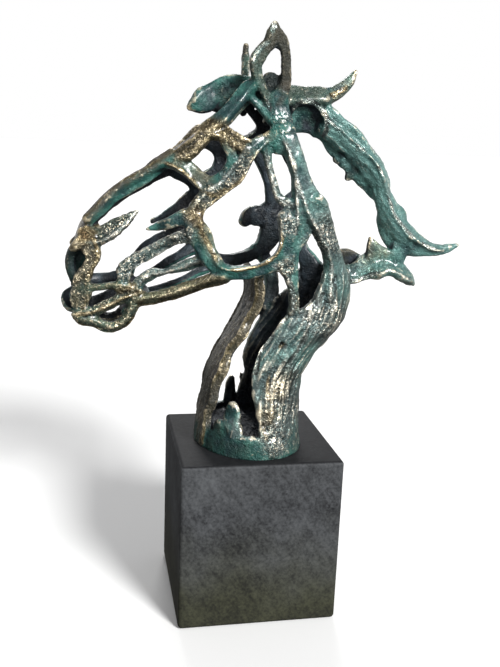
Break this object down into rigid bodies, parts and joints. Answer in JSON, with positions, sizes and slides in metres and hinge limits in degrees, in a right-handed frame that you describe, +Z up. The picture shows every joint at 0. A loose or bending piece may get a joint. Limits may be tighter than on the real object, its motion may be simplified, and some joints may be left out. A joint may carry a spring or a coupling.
{
  "type": "horse head sculpture",
  "caption": "Openwork horse head and neck in patinated cast bronze, standing on a square painted plinth: a table ornament.",
  "frame": {"origin": "centre of the plinth's underside", "axes": "+Z up; the nose points along -X; the near side seen in the picture faces -Y"},
  "size_m": [0.3015, 0.118, 0.4322],
  "materials": {
    "patina": "cast bronze with teal patina, dark recesses and gold edges, lacquered",
    "painted_wood": "black paint, matt, mottled grey-green"
  },
  "bodies": {
    "root": {"horse_head": "patina", "plinth": "painted_wood"}
  },
  "joints": []
}
